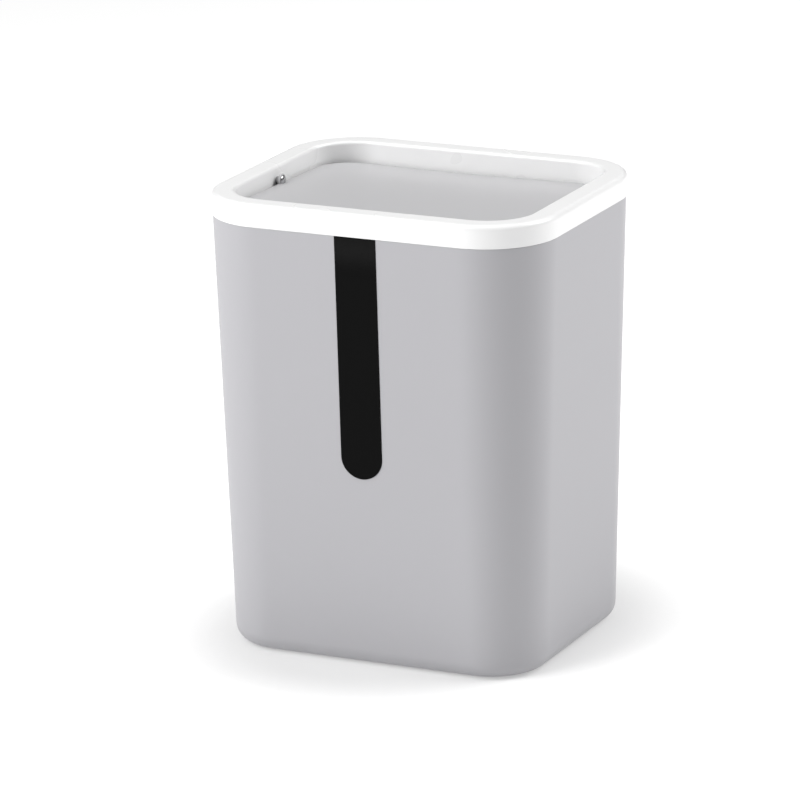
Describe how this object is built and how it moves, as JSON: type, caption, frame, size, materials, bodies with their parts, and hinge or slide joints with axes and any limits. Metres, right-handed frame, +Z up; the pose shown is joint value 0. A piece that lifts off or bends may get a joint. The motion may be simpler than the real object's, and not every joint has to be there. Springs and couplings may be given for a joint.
{
  "type": "desktop trash can",
  "caption": "Small rounded-rectangular desktop bin with a lift-off rim ring and a lid that swings on two pivot pins.",
  "frame": {"origin": "on the surface the bin stands on, under the middle of the bucket", "axes": "+Z up, -Y the front with the label strip, X along the lid's swing axis"},
  "size_m": [0.1406, 0.1176, 0.1786],
  "materials": {
    "grey_plastic": "satin moulded polypropylene",
    "lid_plastic": "satin moulded polypropylene",
    "white_plastic": "glossy moulded polypropylene",
    "pin_steel": "bright plated steel",
    "label_black": "thin satin black film"
  },
  "bodies": {
    "bin": {"bucket": "grey_plastic", "label_strip": "label_black"},
    "ring": {"rim_ring": "white_plastic"},
    "lid": {"swing_lid": "lid_plastic", "pivot_pin_left": "pin_steel", "pivot_pin_right": "pin_steel"}
  },
  "joints": [
    {"name": "ring_lift", "type": "slide", "parent": "bin", "child": "ring", "axis": [0, 0, 1], "range_m": [0, 0.06]},
    {"name": "lid_swing", "type": "hinge", "parent": "ring", "child": "lid", "pos_m": [0, 0, 0.1729], "axis": [1, 0, 0], "range_deg": [-68, 71]}
  ]
}
